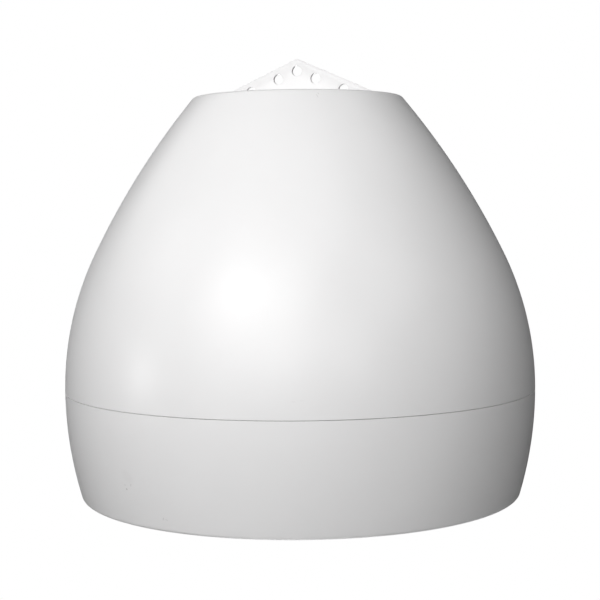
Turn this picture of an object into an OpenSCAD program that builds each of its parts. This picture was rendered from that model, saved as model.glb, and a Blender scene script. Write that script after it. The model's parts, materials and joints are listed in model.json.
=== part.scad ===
// Pendant speaker: a two-part moulded housing hung from a steel plate, with a twelve-inch
// coaxial driver that faces down behind a perforated grille. The origin is the middle of the
// plane that the bottom rim stands on, and +Z points up to the hanging plate.

/* [Housing] */
// Outer diameter at the seam, the widest place
belly_d = 490; // [480:1:505]
// Height of the bell from the seam to the flat top
bell_h = 302; // [290:1:315]
// Depth of the skirt from the seam to its bottom rim
skirt_h = 111; // [108:1:120]
// Wall of both mouldings
wall = 5; // [4:0.5:6]
// Radius of the bell's lower arc
belly_arc_r = 320; // [305:1:340]
// Angle that the lower arc turns through
belly_arc_turn = 26; // [23:0.5:29]
// Radius of the flatter arc up to the shoulder
flank_arc_r = 800; // [720:5:900]
// Radius of the skirt's one arc
skirt_arc_r = 390; // [370:5:450]
// Rounding of the shoulder round the flat top
shoulder_f = 6.5; // [4:0.5:8]
// Rounding of the bottom rim
base_f = 5; // [3:0.5:6]
// Depth of the stiffening ribs inside the bell
rib_depth = 8; // [5:1:10]
// Thickness of the stiffening ribs
rib_t = 3; // [2:0.5:4]

/* [Seam] */
// Open height of the seam between bell and skirt
seam_gap = 1.2; // [0.8:0.1:1.8]
// How far the seam gasket lies back from the outer face
seam_setback = 2.2; // [1.5:0.1:3]
// Height of the bell's locating tongue inside the skirt
tongue_h = 12; // [8:1:16]
// Thickness of the locating tongue
tongue_t = 3.5; // [3:0.5:5]
// Radial clearance round the tongue
tongue_fit = 0.3; // [0.2:0.1:0.6]

/* [Top well] */
// Width of the raised rim round the well
rim_w = 10; // [8:0.5:13]
// Depth of the well below the flat top
well_d = 8; // [6:0.5:10]
// Thickness of the well's floor
floor_t = 6; // [5:0.5:8]

/* [Hanging plate] */
// Thickness of the upright plate
plate_t = 4.5; // [4:0.5:6]
// Height of the plate's peak above the flat top
peak_rise = 40; // [38:0.5:46]
// Slope of the two upper edges in degrees
plate_slope = 24; // [23:0.5:26]
// Rounding of the peak
peak_f = 2.5; // [1:0.5:5]
// Width of the bevel along the upper edges
bevel_w = 2.8; // [2:0.2:3.4]
// Depth of that bevel
bevel_d = 1; // [0.6:0.1:1.4]
// Diameter of the hanging holes
hang_d = 10.5; // [9:0.5:11]
// Height of the middle hole above the flat top
hang_rise = 27; // [25.5:0.5:28]
// Slope of the two rows of holes in degrees
row_slope = 22; // [21:0.5:23]
// Distance of the inner pair of holes from the middle
inner_reach = 20; // [18:0.5:23]
// Distance of the outer pair of holes from the middle
outer_reach = 50; // [46:0.5:52]
// Thickness of the plate's foot
foot_t = 4; // [3:0.5:5]
// Width of the foot
foot_w = 52; // [48:1:56]
// Gap between the foot and the wall of the well
foot_gap = 3; // [2:0.5:5]
// Leg of the weld bead between plate and foot
weld = 3; // [2:0.5:4]
// Distance between the foot bolts along the plate
bolt_span_x = 144; // [136:2:148]
// Distance between the foot bolts across the plate
bolt_span_y = 34; // [30:1:36]
// Thread diameter of the foot bolts
bolt_d = 8; // [6:1:10]
// Thickness of the steel load plate under the well
load_t = 4; // [3:0.5:6]

/* [Terminals] */
// Length of the terminal tray inside its flange
tray_l = 56; // [50:1:60]
// Width of the terminal tray inside its flange
tray_w = 28; // [26:1:32]
// Depth of the tray below the floor of the well
tray_depth = 18; // [16:1:24]
// Wall of the tray
tray_wall = 2; // [1.5:0.5:3]
// Width of the flange that the tray hangs by
tray_flange = 7; // [6:0.5:8]
// Clear distance between the foot and the tray's flange
tray_gap = 3; // [2:0.5:5]
// Pitch of the terminal screws
pole_pitch = 8; // [7:0.5:9]
// Width of the terminal block
block_w = 18; // [14:1:20]
// Height of the terminal block
block_h = 14; // [12:1:15]

/* [Baffle] */
// Height of the ledge that carries the baffle
ledge_z = 52; // [50:1:55]
// Thickness of the ledge
ledge_t = 6; // [5:0.5:7]
// Width of the ledge from the skirt's wall
ledge_w = 24; // [23:1:26]
// Thickness of the baffle
baffle_t = 18; // [15:1:19]
// Gap round the baffle's edge
baffle_gap = 1; // [0.5:0.5:2]
// Thickness of the gaskets either side of the baffle
gasket_t = 1.5; // [1:0.5:2]
// Diameter of the clamping columns inside the bell
column_d = 16; // [14:1:17]
// Distance of a column from the baffle's edge
column_edge = 4; // [3:0.5:5]
// Height of the columns above the seam
column_rise = 40; // [30:1:50]
// Diameter of the clamping screws
clamp_d = 5; // [4:0.5:6]
// Depth that a clamping screw reaches into its column
clamp_grip = 42; // [30:1:50]

/* [Woofer] */
// Diameter of the basket's flange
woofer_d = 315; // [310:1:318]
// Diameter of the hole in the baffle
cutout_d = 282; // [280:1:284]
// Thickness of the basket's flange
flange_t = 6; // [5:0.5:7]
// Diameter of the circle of woofer screws
woofer_pcd = 298; // [296:0.5:300]
// Depth from the flange to the motor
basket_h = 90; // [86:1:96]
// Wall of the basket's collar and rings
cast_t = 4; // [3:0.5:5]
// Width of each basket spoke
spoke_w = 18; // [14:1:22]
// Radius where the cone meets its surround
cone_r = 116; // [112:1:118]
// Width of the strips that glue the surround to cone and basket
glue_w = 7; // [5:0.5:8]
// Thickness of the rubber surround
surround_t = 1; // [0.6:0.1:1.4]
// Radius of the voice coil's former
coil_r = 37.5; // [36:0.5:39]
// Height of the cone's neck above the flange
neck_h = 58; // [54:1:60]
// Height of the spider above the cone's neck
spider_rise = 6; // [5:0.5:8]
// Radius of the spider's pleated part
spider_r = 72; // [66:1:74]
// Thickness of the paper cone
cone_t = 1.4; // [1:0.1:2]
// Diameter of the ferrite ring
magnet_d = 156; // [150:1:160]
// Height of the ferrite ring
magnet_h = 20; // [18:1:24]
// Thickness of the steel plates either side of it
pole_plate_t = 8; // [6:0.5:10]
// Radial width of the magnetic gap's free space on each side of the coil
coil_play = 0.6; // [0.4:0.1:0.8]

/* [Horn] */
// Radius of the throat that runs through the pole
throat_r = 12.5; // [11:0.5:14]
// Radius of the horn's mouth
mouth_r = 46; // [42:1:50]
// Height of the horn's mouth above the basket flange
mouth_h = 22; // [18:1:26]
// Wall of the horn
horn_t = 2.5; // [2:0.5:3.5]
// Diameter of the compression driver
driver_d = 90; // [84:1:96]
// Height of the compression driver's magnet
driver_magnet_h = 18; // [14:1:22]
// Height of the compression driver's rear cap
driver_cap_h = 22; // [18:1:26]

/* [Ports] */
// Inside diameter of each port tube
port_d = 40; // [36:1:42]
// Wall of the port tubes
port_wall = 2.5; // [2:0.5:3]
// Width of the flange beyond the tube's outside
port_lip = 3; // [2:0.5:3.5]
// Length of the port tubes above the baffle's face
port_l = 110; // [90:1:125]

/* [Grille] */
// Depth of the grille's face inside the rim
grille_inset = 4; // [3:0.5:6]
// Thickness of the perforated steel
grille_t = 1.2; // [1:0.1:1.5]
// Height of the grille's turned-up edge
grille_edge_h = 8; // [6:0.5:10]
// Clearance round the grille
grille_fit = 0.3; // [0.2:0.1:0.5]
// Pitch of the perforation
hole_pitch = 14; // [13:0.5:18]
// Diameter of each perforation
hole_d = 9.5; // [7:0.5:10.5]
// Width of the plain margin outside the perforation
margin_w = 16; // [14:0.5:20]
// Width of the rim's flat underside
rim_flat = 8; // [6:0.5:10]
// Height of the rim's inner wall
rim_wall_h = 20; // [18:1:24]
// Thickness of the rim's inner wall
rim_wall_t = 4; // [3:0.5:5]
// Diameter of the bosses for the grille screws
grille_boss_d = 9; // [8:0.5:10]
// Thickness of the acoustic cloth
cloth_t = 0.8; // [0.5:0.1:1.2]

/* [Electrics] */
// Length of the crossover board
board_l = 118; // [110:1:124]
// Width of the crossover board
board_w = 50; // [46:1:52]
// Thickness of the crossover board
board_t = 1.6; // [1.2:0.2:2.4]
// Height of the standoffs under the board
standoff_h = 8; // [6:1:12]
// Distance of board and transformer from the basket
bench_gap = 8; // [5:1:10]
// Width of the transformer's core
core_w = 72; // [66:1:78]
// Height of the transformer's core
core_h = 60; // [54:1:66]
// Thickness of the stack of laminations
stack_t = 26; // [22:1:30]

/* [Damping] */
// Thickness of the wadding that lines the bell
lining_t = 18; // [12:1:20]
// Height of the wadding's lower edge above the seam
lining_z = 58; // [52:1:65]

/* [Hidden] */

paint_white = [0.94, 0.94, 0.93];
steel = [0.62, 0.63, 0.65];
dark_steel = [0.30, 0.31, 0.33];
black = [0.09, 0.09, 0.10];
brass = [0.72, 0.58, 0.28];
copper = [0.72, 0.40, 0.22];

arc_fn = 720;
round_fn = 180;
mid_fn = 96;
small_fn = 32;
touch = 0.01;

belly_r = belly_d / 2;
seam_z = skirt_h;
top_z = skirt_h + bell_h;

// The bell's two arcs meet in line at the knee, and both arcs and the skirt's share the seam plane.
belly_c = [belly_r - belly_arc_r, seam_z];
turn_dir = [cos(belly_arc_turn), sin(belly_arc_turn)];
flank_c = belly_c + (belly_arc_r - flank_arc_r) * turn_dir;
skirt_c = [belly_r - skirt_arc_r, seam_z];

function arc_x(c, r, z) = c[0] + sqrt(pow(r, 2) - pow(z - c[1], 2));
function knee_z(inset) = seam_z + (belly_arc_r - inset) * sin(belly_arc_turn);
function bell_x(z, inset = 0) =
  z < knee_z(inset) ? arc_x(belly_c, belly_arc_r - inset, z) : arc_x(flank_c, flank_arc_r - inset, z);
function skirt_x(z, inset = 0) = arc_x(skirt_c, skirt_arc_r - inset, z);

// Centres of the two roundings, where each touches its arc, and the height of that touch.
shoulder_z = top_z - shoulder_f;
shoulder_c = [arc_x(flank_c, flank_arc_r - shoulder_f, shoulder_z), shoulder_z];
shoulder_a = atan2(shoulder_c[1] - flank_c[1], shoulder_c[0] - flank_c[0]);
shoulder_touch = shoulder_z + shoulder_f * sin(shoulder_a);
base_c = [arc_x(skirt_c, skirt_arc_r - base_f, base_f), base_f];
base_a = atan2(base_c[1] - skirt_c[1], base_c[0] - skirt_c[0]);
base_touch = base_f + base_f * sin(base_a);

well_r = shoulder_c[0] - rim_w;
well_z = top_z - well_d;
under_z = well_z - floor_t;

baffle_z = ledge_z + ledge_t + gasket_t;
baffle_top = baffle_z + baffle_t;
baffle_r = skirt_x(baffle_z, wall) - baffle_gap;
ledge_r = skirt_x(ledge_z, wall) - ledge_w;
column_r = baffle_r - column_edge - column_d / 2;
column_top = seam_z + column_rise;
column_count = 8;
column_angles = [for (i = [0 : column_count - 1]) (i + 0.5) * 360 / column_count];
clamp_hole_d = clamp_d + 0.6;

tongue_r = skirt_x(seam_z - tongue_h, wall) - tongue_fit;

grille_bore_r = base_c[0] - rim_flat;
grille_r = grille_bore_r - grille_fit;
grille_back = grille_inset + grille_t;
field_r = grille_r - margin_w;
grille_boss_r = grille_r - grille_t - grille_fit - grille_boss_d / 2;
grille_boss_count = 6;

woofer_r = woofer_d / 2;
cutout_r = cutout_d / 2;
woofer_z = baffle_z - gasket_t;
basket_r = cutout_r - 1;
motor_z = woofer_z + basket_h;
spider_z = woofer_z + neck_h + spider_rise;
spider_t = 0.8;
spider_wave = 1.5;

port_r = (woofer_r + ledge_r) / 2;
port_outer = port_d / 2 + port_wall;
port_angles = [for (i = [0 : 3]) 45 + i * 90];

// Basic shapes

// Flat ring between two radii and two heights
module ring(r0, r1, z0, z1, fn = round_fn) {
  rotate_extrude($fn = fn)
    translate([r0, z0])
      square([r1 - r0, z1 - z0]);
}

// Copies at one radius and several angles
module around(radius, angles) {
  for (a = angles)
    rotate(a)
      translate([radius, 0])
        children();
}

// Part of a disc beside the axis, between two heights
module arc_band(c, r, z0, z1) {
  intersection() {
    translate(c)
      circle(r = r, $fn = arc_fn);
    translate([0, z0])
      square([c[0] + r, z1 - z0]);
  }
}

// Half section of the bell, shrunk evenly by the inset and cut flat below and above the knee
module bell_section(inset, z0, z1) {
  arc_band(belly_c, belly_arc_r - inset, z0, knee_z(inset));
  arc_band(flank_c, flank_arc_r - inset, knee_z(inset), z1);
}

// Half section of the whole bell with its rounded shoulder
module bell_outline() {
  bell_section(0, seam_z + seam_gap / 2, shoulder_touch);
  translate([0, shoulder_touch])
    square([shoulder_c[0], top_z - shoulder_touch]);
  intersection() {
    translate(shoulder_c)
      circle(r = shoulder_f, $fn = arc_fn / 4);
    translate([shoulder_c[0], shoulder_touch])
      square([shoulder_f, top_z - shoulder_touch]);
  }
}

// Half section of the skirt, shrunk evenly by the inset and cut flat at two heights
module skirt_section(inset, z0, z1) {
  arc_band(skirt_c, skirt_arc_r - inset, z0, z1);
}

// Half section of the whole skirt with its rounded bottom rim
module skirt_outline() {
  skirt_section(0, base_touch, seam_z - seam_gap / 2);
  square([base_c[0], base_touch]);
  intersection() {
    translate(base_c)
      circle(r = base_f, $fn = arc_fn / 4);
    translate([base_c[0], 0])
      square([base_f, base_touch]);
  }
}

// Screw with a round head below its seat, pointing up
module screw_up(d, length, head_d, head_h) {
  cylinder(d = d, h = length, $fn = small_fn);
  translate([0, 0, -head_h])
    cylinder(d = head_d, h = head_h, $fn = small_fn);
}

// Housing

module bell() {
  color(paint_white)
    difference() {
      union() {
        rotate_extrude($fn = round_fn)
          difference() {
            bell_outline();
            difference() {
              bell_section(wall, seam_z, top_z - wall);
              translate([0, under_z])
                square([well_r + wall, floor_t + well_d]);
            }
            translate([0, well_z])
              square([well_r, well_d + touch]);
          }
        ring(tongue_r - tongue_t, tongue_r, seam_z - tongue_h, seam_z + tongue_h);
        bell_ribs();
        around(column_r, column_angles)
          translate([0, 0, baffle_top])
            cylinder(d = column_d, h = column_top - baffle_top, $fn = mid_fn);
      }
      around(column_r, column_angles)
        translate([0, 0, baffle_top - touch])
          cylinder(d = clamp_d, h = clamp_grip + touch, $fn = small_fn);
      foot_bolt_places()
        translate([0, 0, under_z - touch])
          cylinder(d = bolt_d + 1, h = floor_t + 2 * touch, $fn = small_fn);
      tray_opening();
      tray_screw_places()
        translate([0, 0, under_z - touch])
          cylinder(d = 2.5, h = floor_t + 2 * touch, $fn = small_fn);
    }
}

// Upright ribs on the inside of the bell, wide as far as the columns' tops and narrow above
module bell_ribs() {
  rib_z = seam_z - tongue_h;
  intersection() {
    for (a = column_angles)
      rotate(a)
        translate([0, -rib_t / 2, rib_z - tongue_h])
          cube([belly_r, rib_t, top_z]);
    rotate_extrude($fn = round_fn)
      difference() {
        union() {
          bell_section(wall / 2, seam_z + seam_gap, under_z + floor_t / 2);
          translate([0, rib_z])
            square([tongue_r - tongue_t / 2, 2 * tongue_h]);
        }
        translate([0, rib_z - touch])
          square([column_r, column_top - rib_z + touch]);
        bell_section(wall + rib_depth, column_top - touch, top_z);
      }
  }
}

module skirt() {
  color(paint_white)
    difference() {
      union() {
        rotate_extrude($fn = round_fn)
          difference() {
            skirt_outline();
            difference() {
              skirt_section(wall, wall, seam_z);
              translate([ledge_r, ledge_z])
                square([ledge_w + wall, ledge_t]);
              translate([grille_bore_r, 0])
                square([rim_wall_t, rim_wall_h]);
            }
            translate([0, -touch])
              square([grille_bore_r, wall + 2 * touch]);
          }
        grille_bosses();
      }
      around(column_r, column_angles)
        translate([0, 0, ledge_z - touch])
          cylinder(d = clamp_hole_d, h = ledge_t + 2 * touch, $fn = small_fn);
      grille_boss_places()
        translate([0, 0, grille_back - touch])
          cylinder(d = 2.5, h = rim_wall_h, $fn = small_fn);
    }
}

module grille_boss_places() {
  around(grille_boss_r, [for (i = [0 : grille_boss_count - 1]) i * 360 / grille_boss_count])
    children();
}

// Bosses for the grille screws, each joined to the rim's inner wall above the grille's edge
module grille_bosses() {
  web_z = grille_inset + grille_edge_h + grille_fit;
  grille_boss_places() {
    translate([0, 0, grille_back])
      cylinder(d = grille_boss_d, h = rim_wall_h - grille_back, $fn = mid_fn);
    translate([0, -grille_boss_d / 2, web_z])
      cube([grille_bore_r + rim_wall_t / 2 - grille_boss_r, grille_boss_d, rim_wall_h - web_z]);
  }
}

module seam_gasket() {
  color(black)
    ring(belly_r - wall, belly_r - seam_setback, seam_z - seam_gap / 2, seam_z + seam_gap / 2);
}

// Hanging plate and what fixes it

plate_w = 2 * (well_r - foot_gap - 2);
// Height of the foot's upper face
foot_z = well_z + foot_t;

module foot_bolt_places() {
  for (x = [-1, 1], y = [-1, 1])
    translate([x * bolt_span_x / 2, y * bolt_span_y / 2, 0])
      children();
}

// Height of a hole above the flat top, at a distance from the middle
function row_z(reach) = top_z + hang_rise - reach * tan(row_slope);

// Front outline of the plate, with its rounded peak
module plate_outline() {
  round_z = top_z + peak_rise - peak_f / cos(plate_slope);
  arc = [for (i = [-4 : 4]) let (a = i / 4 * plate_slope)
    [peak_f * sin(a), round_z + peak_f * cos(a)]];
  side_z = top_z + peak_rise - plate_w / 2 * tan(plate_slope);
  polygon(concat([[-plate_w / 2, foot_z], [-plate_w / 2, side_z]], arc,
    [[plate_w / 2, side_z], [plate_w / 2, foot_z]]));
}

// Wedge that bevels one upper edge on both faces
module edge_bevel() {
  slope_l = plate_w / 2 / cos(plate_slope) + 2 * bevel_w;
  translate([0, 0, top_z + peak_rise])
    rotate([0, plate_slope, 0])
      translate([slope_l / 2 - bevel_w, 0, 0])
        rotate([90, 0, 90])
          linear_extrude(slope_l, center = true)
            for (s = [-1, 1])
              polygon([[s * plate_t / 2, -bevel_w], [s * (plate_t / 2 - bevel_d), 0],
                [s * (plate_t / 2 - bevel_d), bevel_w], [s * plate_t, bevel_w], [s * plate_t, -bevel_w]]);
}

module hanging_plate() {
  color(paint_white)
    difference() {
      rotate([90, 0, 0])
        linear_extrude(plate_t, center = true)
          plate_outline();
      edge_bevel();
      mirror([1, 0, 0])
        edge_bevel();
      for (reach = [-outer_reach, -inner_reach, 0, inner_reach, outer_reach])
        translate([reach, 0, row_z(abs(reach))])
          rotate([90, 0, 0])
            cylinder(d = hang_d, h = 2 * plate_t, center = true, $fn = mid_fn);
    }
}

// Foot with the weld beads that hold the upright plate
module foot_plate() {
  color(paint_white)
    difference() {
      union() {
        translate([0, 0, well_z])
          linear_extrude(foot_t)
            intersection() {
              circle(r = well_r - foot_gap, $fn = round_fn);
              square([2 * well_r, foot_w], center = true);
            }
        for (s = [-1, 1])
          translate([0, s * plate_t / 2, foot_z])
            rotate([90, 0, 90])
              linear_extrude(plate_w, center = true)
                polygon([[0, 0], [s * weld, 0], [0, weld]]);
      }
      foot_bolt_places()
        translate([0, 0, well_z - touch])
          cylinder(d = bolt_d + 1, h = foot_t + 2 * touch, $fn = small_fn);
    }
}

washer_t = 1.6;
bolt_head_h = 5.3;
nut_h = 6.5;
stack_under = under_z - load_t - nut_h;

module foot_bolts() {
  color(steel)
    foot_bolt_places()
      union() {
        translate([0, 0, foot_z + washer_t])
          cylinder(d = 1.8 * bolt_d, h = bolt_head_h, $fn = 6);
        translate([0, 0, stack_under - 3])
          cylinder(d = bolt_d, h = foot_z + washer_t + 3 - stack_under, $fn = small_fn);
      }
}

module foot_washers() {
  color(steel)
    foot_bolt_places()
      translate([0, 0, foot_z])
        difference() {
          cylinder(d = 2 * bolt_d, h = washer_t, $fn = small_fn);
          translate([0, 0, -touch])
            cylinder(d = bolt_d, h = washer_t + 2 * touch, $fn = small_fn);
        }
}

module load_plate() {
  color(dark_steel)
    translate([0, 0, under_z - load_t])
      linear_extrude(load_t)
        difference() {
          intersection() {
            circle(r = well_r - foot_gap, $fn = round_fn);
            square([2 * well_r, foot_w], center = true);
          }
          foot_bolt_places()
            circle(d = bolt_d + 1, $fn = small_fn);
        }
}

module foot_nuts() {
  color(steel)
    foot_bolt_places()
      translate([0, 0, stack_under])
        difference() {
          cylinder(d = 1.85 * bolt_d, h = nut_h, $fn = 6);
          translate([0, 0, -touch])
            cylinder(d = bolt_d, h = nut_h + 2 * touch, $fn = small_fn);
        }
}

// Terminals

tray_y = foot_w / 2 + tray_gap + tray_flange + tray_wall + tray_w / 2;
tray_fit = 0.4;
tray_flange_t = 2;

// Rectangle with rounded corners, centred on the tray
module tray_outline(grow, corner) {
  l = tray_l + 2 * grow - 2 * corner;
  w = tray_w + 2 * grow - 2 * corner;
  translate([0, tray_y]) {
    square([l + 2 * corner, w], center = true);
    square([l, w + 2 * corner], center = true);
    for (x = [-1, 1], y = [-1, 1])
      translate([x * l / 2, y * w / 2])
        circle(r = corner, $fn = small_fn);
  }
}

module tray_screw_places() {
  for (x = [-1, 1], y = [-1, 1])
    translate([x * (tray_l / 2 + tray_wall + tray_flange / 2 - 0.5),
      tray_y + y * (tray_w / 2 - 4), 0])
      children();
}

module tray_opening() {
  translate([0, 0, under_z - touch])
    linear_extrude(floor_t + 2 * touch)
      tray_outline(tray_wall + tray_fit, 3);
}

module terminal_tray() {
  color(black)
    difference() {
      union() {
        translate([0, 0, well_z])
          linear_extrude(tray_flange_t)
            tray_outline(tray_wall + tray_flange, 4);
        translate([0, 0, well_z - tray_depth])
          linear_extrude(tray_depth + touch)
            tray_outline(tray_wall, 3);
      }
      translate([0, 0, well_z - tray_depth + tray_wall])
        linear_extrude(tray_depth + tray_flange_t)
          tray_outline(0, 1.5);
      tray_screw_places()
        translate([0, 0, well_z - touch])
          cylinder(d = 3.4, h = tray_flange_t + 2 * touch, $fn = small_fn);
    }
}

pole_count = 6;
block_l = pole_count * pole_pitch;
block_z = well_z - tray_depth + tray_wall;

module pole_places() {
  for (i = [0 : pole_count - 1])
    translate([(i - (pole_count - 1) / 2) * pole_pitch, tray_y, block_z])
      children();
}

module terminal_block() {
  color(dark_steel)
    difference() {
      translate([-block_l / 2, tray_y - block_w / 2, block_z])
        cube([block_l, block_w, block_h]);
      pole_places() {
        translate([0, 0, block_h - 8])
          cylinder(d = 4.6, h = 8 + touch, $fn = small_fn);
        translate([0, 0, 5])
          rotate([90, 0, 0])
            cylinder(d = 3.6, h = 2 * block_w, center = true, $fn = small_fn);
      }
      for (i = [1 : pole_count - 1])
        translate([(i - pole_count / 2) * pole_pitch - 0.5, tray_y - block_w, block_z + block_h - 2])
          cube([1, 2 * block_w, 2 + touch]);
    }
}

module terminal_screws() {
  color(brass)
    pole_places()
      translate([0, 0, block_h - 8])
        difference() {
          cylinder(d = 4.2, h = 5.5, $fn = small_fn);
          translate([-3, -0.4, 4.5])
            cube([6, 0.8, 2]);
        }
}

module tray_screws() {
  color(steel)
    tray_screw_places()
      translate([0, 0, well_z + tray_flange_t])
        mirror([0, 0, 1])
          screw_up(2.5, floor_t + tray_flange_t, 5, 1.8);
}

// Baffle and clamping

module baffle() {
  color(black)
    difference() {
      ring(cutout_r, baffle_r, baffle_z, baffle_top);
      around(column_r, column_angles)
        translate([0, 0, baffle_z - touch])
          cylinder(d = clamp_hole_d, h = baffle_t + 2 * touch, $fn = small_fn);
      around(port_r, port_angles)
        translate([0, 0, baffle_z - touch])
          cylinder(r = port_outer, h = baffle_t + 2 * touch, $fn = mid_fn);
      woofer_screw_places()
        translate([0, 0, baffle_z - touch])
          cylinder(d = clamp_d, h = baffle_t + 2 * touch, $fn = small_fn);
      strap_screw_places()
        translate([0, 0, baffle_z - touch])
          cylinder(d = strap_screw_d, h = baffle_t + 2 * touch, $fn = small_fn);
    }
}

module baffle_gasket() {
  color(dark_steel)
    difference() {
      ring(ledge_r + 1, baffle_r - 1, baffle_z - gasket_t, baffle_z);
      around(column_r, column_angles)
        translate([0, 0, baffle_z - gasket_t - touch])
          cylinder(d = clamp_hole_d + 1, h = gasket_t + 2 * touch, $fn = small_fn);
    }
}

module clamp_screws() {
  color(steel)
    around(column_r, column_angles)
      translate([0, 0, ledge_z])
        screw_up(clamp_d, baffle_top - ledge_z + clamp_grip - 3, 2 * clamp_d, 3.5);
}

// Woofer

woofer_screw_count = 8;

module woofer_screw_places() {
  around(woofer_pcd / 2, [for (i = [0 : woofer_screw_count - 1]) i * 360 / woofer_screw_count])
    children();
}

module woofer_gasket() {
  color(dark_steel)
    difference() {
      ring(cutout_r, woofer_r - 1, woofer_z, baffle_z);
      woofer_screw_places()
        translate([0, 0, woofer_z - touch])
          cylinder(d = clamp_d + 1, h = gasket_t + 2 * touch, $fn = small_fn);
    }
}

spoke_count = 6;
collar_h = 20;
motor_r = magnet_d / 2 - 6;

// Side view of one spoke, from the collar to the motor's seat
module spoke_outline() {
  polygon([
    [basket_r - cast_t / 2, woofer_z + 4],
    [basket_r - cast_t / 2, woofer_z + collar_h - 1],
    [motor_r + 10, motor_z - 1],
    [motor_r - 8, motor_z],
    [motor_r - 8, motor_z - cast_t],
    [motor_r + 4, motor_z - 12],
    [basket_r - 14, woofer_z + 4]
  ]);
}

module woofer_basket() {
  color(dark_steel)
    difference() {
      union() {
        ring(basket_r - cast_t, woofer_r, woofer_z - flange_t, woofer_z);
        ring(basket_r - 12, basket_r - cast_t + 1, woofer_z - flange_t, woofer_z - flange_t + 3);
        ring(basket_r - cast_t, basket_r, woofer_z - touch, woofer_z + collar_h);
        ring(spider_r + 0.5, motor_r + 16, spider_z + spider_t, spider_z + spider_t + cast_t);
        ring(coil_r + 6, motor_r, motor_z - cast_t, motor_z);
        for (i = [0 : spoke_count - 1])
          rotate((i + 0.5) * 360 / spoke_count)
            rotate([90, 0, 0])
              linear_extrude(spoke_w, center = true)
                spoke_outline();
      }
      woofer_screw_places()
        translate([0, 0, woofer_z - flange_t - touch])
          cylinder(d = clamp_d + 0.6, h = flange_t + 2 * touch, $fn = small_fn);
    }
}

module woofer_screws() {
  color(steel)
    woofer_screw_places()
      translate([0, 0, woofer_z - flange_t])
        screw_up(clamp_d, flange_t + gasket_t + baffle_t - 2, 2 * clamp_d, 3.5);
}

// Half roll and the two flat strips that glue to cone and basket
module surround() {
  roll_end = basket_r - glue_w;
  roll_mid = (cone_r + roll_end) / 2;
  roll_half = (roll_end - cone_r) / 2;
  seat_z = woofer_z - flange_t;
  color(black)
    rotate_extrude($fn = round_fn) {
      translate([roll_mid, seat_z])
        difference() {
          circle(r = roll_half, $fn = mid_fn);
          circle(r = roll_half - surround_t, $fn = mid_fn);
          translate([-2 * roll_half, 0])
            square([4 * roll_half, 2 * roll_half]);
        }
      translate([roll_end - surround_t, seat_z - surround_t])
        square([glue_w - 1, surround_t]);
      translate([cone_r + surround_t - glue_w, seat_z - surround_t])
        square([glue_w, surround_t]);
    }
}

function cone_z(r) = woofer_z - flange_t + (woofer_z + neck_h - (woofer_z - flange_t))
  * pow((cone_r - r) / (cone_r - coil_r), 0.8);

module cone() {
  steps = 12;
  radii = [for (i = [0 : steps]) cone_r - i / steps * (cone_r - coil_r - 0.3)];
  color([0.16, 0.16, 0.17])
    rotate_extrude($fn = round_fn)
      polygon(concat([for (r = radii) [r, cone_z(r)]],
        [for (i = [steps : -1 : 0]) [radii[i], cone_z(radii[i]) + cone_t * 1.4]]));
}

// Pleated disc with a flat rim that glues under the basket's inner ledge
module spider() {
  waves = 4;
  steps = waves * 8;
  inner = coil_r + former_t;
  pleats = [for (i = [0 : steps]) [inner + i / steps * (spider_r - inner),
    spider_z - spider_wave * sin(i / steps * waves * 360)]];
  pts = concat(pleats, [[spider_r + glue_w, spider_z]]);
  color([0.75, 0.58, 0.30])
    rotate_extrude($fn = round_fn)
      polygon(concat(pts, [for (i = [len(pts) - 1 : -1 : 0]) pts[i] + [0, spider_t]]));
}

coil_t = 1.2;
former_t = 0.3;

module voice_coil() {
  color(copper) {
    ring(coil_r, coil_r + former_t, woofer_z + neck_h - 6, motor_z + pole_plate_t + 3);
    ring(coil_r + former_t, coil_r + former_t + coil_t, motor_z - 3, motor_z + pole_plate_t + 3);
  }
}

module front_pole_plate() {
  color(steel)
    ring(coil_r + former_t + coil_t + coil_play, motor_r, motor_z, motor_z + pole_plate_t);
}

magnet_z = motor_z + pole_plate_t;

module woofer_magnet() {
  color([0.18, 0.18, 0.19])
    ring(coil_r + 10, magnet_d / 2, magnet_z, magnet_z + magnet_h);
}

back_z = magnet_z + magnet_h;

// Back plate and pole in one turned piece, with the horn's throat through it
module back_pole_plate() {
  color(steel) {
    ring(throat_r, motor_r, back_z, back_z + pole_plate_t);
    ring(throat_r, coil_r - coil_play, motor_z, back_z + touch);
  }
}

// Horn and compression driver

// Radius of the horn's bore, growing evenly from throat to mouth
function horn_r(u) = throat_r * pow(mouth_r / throat_r, u);

module horn() {
  steps = 14;
  drop = motor_z - woofer_z - mouth_h;
  inner = [for (i = [0 : steps]) [horn_r(i / steps), motor_z - i / steps * drop]];
  color(black)
    rotate_extrude($fn = mid_fn)
      polygon(concat(inner, [for (i = [steps : -1 : 0]) inner[i] + [horn_t, 0]]));
}

driver_z = back_z + pole_plate_t;
driver_plate_t = 6;

module driver_plate() {
  color(steel)
    ring(throat_r, driver_d / 2, driver_z, driver_z + driver_plate_t, mid_fn);
}

module driver_magnet() {
  color([0.18, 0.18, 0.19])
    ring(driver_d / 4, driver_d / 2 - 3, driver_z + driver_plate_t,
      driver_z + driver_plate_t + driver_magnet_h, mid_fn);
}

driver_top = driver_z + driver_plate_t + driver_magnet_h;

// Thin dome and its flat mounting ring
module driver_diaphragm() {
  dome_r = 30;
  rise = 9;
  color([0.80, 0.81, 0.83])
    rotate_extrude($fn = mid_fn) {
      intersection() {
        translate([0, driver_top + rise - dome_r])
          difference() {
            circle(r = dome_r, $fn = round_fn);
            circle(r = dome_r - 0.4, $fn = round_fn);
          }
        translate([0, driver_top])
          square([dome_r, rise + 1]);
      }
      translate([sqrt(pow(dome_r, 2) - pow(dome_r - rise, 2)) - 0.5, driver_top])
        square([driver_d / 2 - 8 - sqrt(pow(dome_r, 2) - pow(dome_r - rise, 2)), 0.8]);
    }
}

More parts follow.
